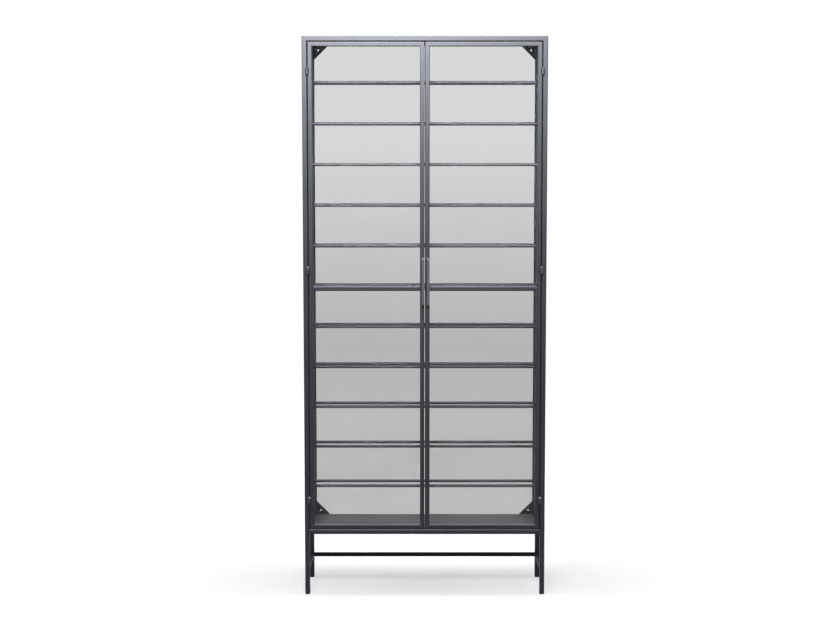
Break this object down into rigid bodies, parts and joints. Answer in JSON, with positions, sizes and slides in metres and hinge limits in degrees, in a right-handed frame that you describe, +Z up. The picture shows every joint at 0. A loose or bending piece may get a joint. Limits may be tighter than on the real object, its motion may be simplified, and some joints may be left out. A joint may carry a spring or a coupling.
{
  "type": "bottle rack",
  "caption": "Tall shallow steel bottle cabinet on legs: square-tube frame, round rods that carry lying wine bottles, and glazed double doors on barrel hinges.",
  "frame": {"origin": "on the floor, in the middle of the outer box (legs' undersides, handles included)", "axes": "+Z up, -Y out of the front where the doors and handles are, +X to the right as seen from the front"},
  "size_m": [0.8, 0.24, 1.85],
  "materials": {
    "frame_paint": "satin powder coat",
    "sheet_paint": "satin powder coat",
    "rod_paint": "satin powder coat",
    "hardware_paint": "satin paint",
    "bare_steel": "bright",
    "door_glass": "clear",
    "gasket": "matt",
    "glide": "matt"
  },
  "bodies": {
    "cabinet": {"bottom_left_gusset": "frame_paint", "bottom_right_gusset": "frame_paint", "bottom_shelf": "sheet_paint", "door_stop": "hardware_paint", "foot_glides": "glide", "frame_hinge_knuckles": "hardware_paint", "front_bottom_rail": "frame_paint", "front_left_upright": "frame_paint", "front_right_upright": "frame_paint", "front_top_rail": "frame_paint", "hinge_pins": "bare_steel", "left_bottom_rail": "frame_paint", "left_side_wall": "sheet_paint", "left_stretcher": "frame_paint", "left_top_rail": "frame_paint", "rear_bottom_rail": "frame_paint", "rear_left_upright": "frame_paint", "rear_right_upright": "frame_paint", "rear_stretcher": "frame_paint", "rear_top_rail": "frame_paint", "right_bottom_rail": "frame_paint", "right_side_wall": "sheet_paint", "right_stretcher": "frame_paint", "right_top_rail": "frame_paint", "stop_magnets": "bare_steel", "tier_rods_01": "rod_paint", "tier_rods_02": "rod_paint", "tier_rods_03": "rod_paint", "tier_rods_04": "rod_paint", "tier_rods_05": "rod_paint", "tier_rods_06": "rod_paint", "tier_rods_07": "rod_paint", "tier_rods_08": "rod_paint", "tier_rods_09": "rod_paint", "tier_rods_10": "rod_paint", "tier_rods_11": "rod_paint", "top_left_gusset": "frame_paint", "top_panel": "sheet_paint", "top_right_gusset": "frame_paint"},
    "left_door": {"left_door_bottom_rail": "frame_paint", "left_door_gasket": "gasket", "left_door_glass": "door_glass", "left_door_handle": "frame_paint", "left_door_hinge_knuckles": "hardware_paint", "left_door_hinge_stile": "frame_paint", "left_door_meeting_stile": "frame_paint", "left_door_mid_rail": "frame_paint", "left_door_top_rail": "frame_paint", "left_glass_clips": "hardware_paint"},
    "right_door": {"right_door_bottom_rail": "frame_paint", "right_door_buffer": "gasket", "right_door_gasket": "gasket", "right_door_glass": "door_glass", "right_door_handle": "frame_paint", "right_door_hinge_knuckles": "hardware_paint", "right_door_hinge_stile": "frame_paint", "right_door_meeting_stile": "frame_paint", "right_door_mid_rail": "frame_paint", "right_door_top_rail": "frame_paint", "right_glass_clips": "hardware_paint"}
  },
  "joints": [
    {"name": "left_door_hinge", "type": "hinge", "parent": "cabinet", "child": "left_door", "pos_m": [-0.3831, -0.10575, 1.088], "axis": [0, 0, -1], "range_deg": [0, 170]},
    {"name": "right_door_hinge", "type": "hinge", "parent": "cabinet", "child": "right_door", "pos_m": [0.3831, -0.10575, 1.088], "axis": [0, 0, 1], "range_deg": [0, 170]}
  ]
}
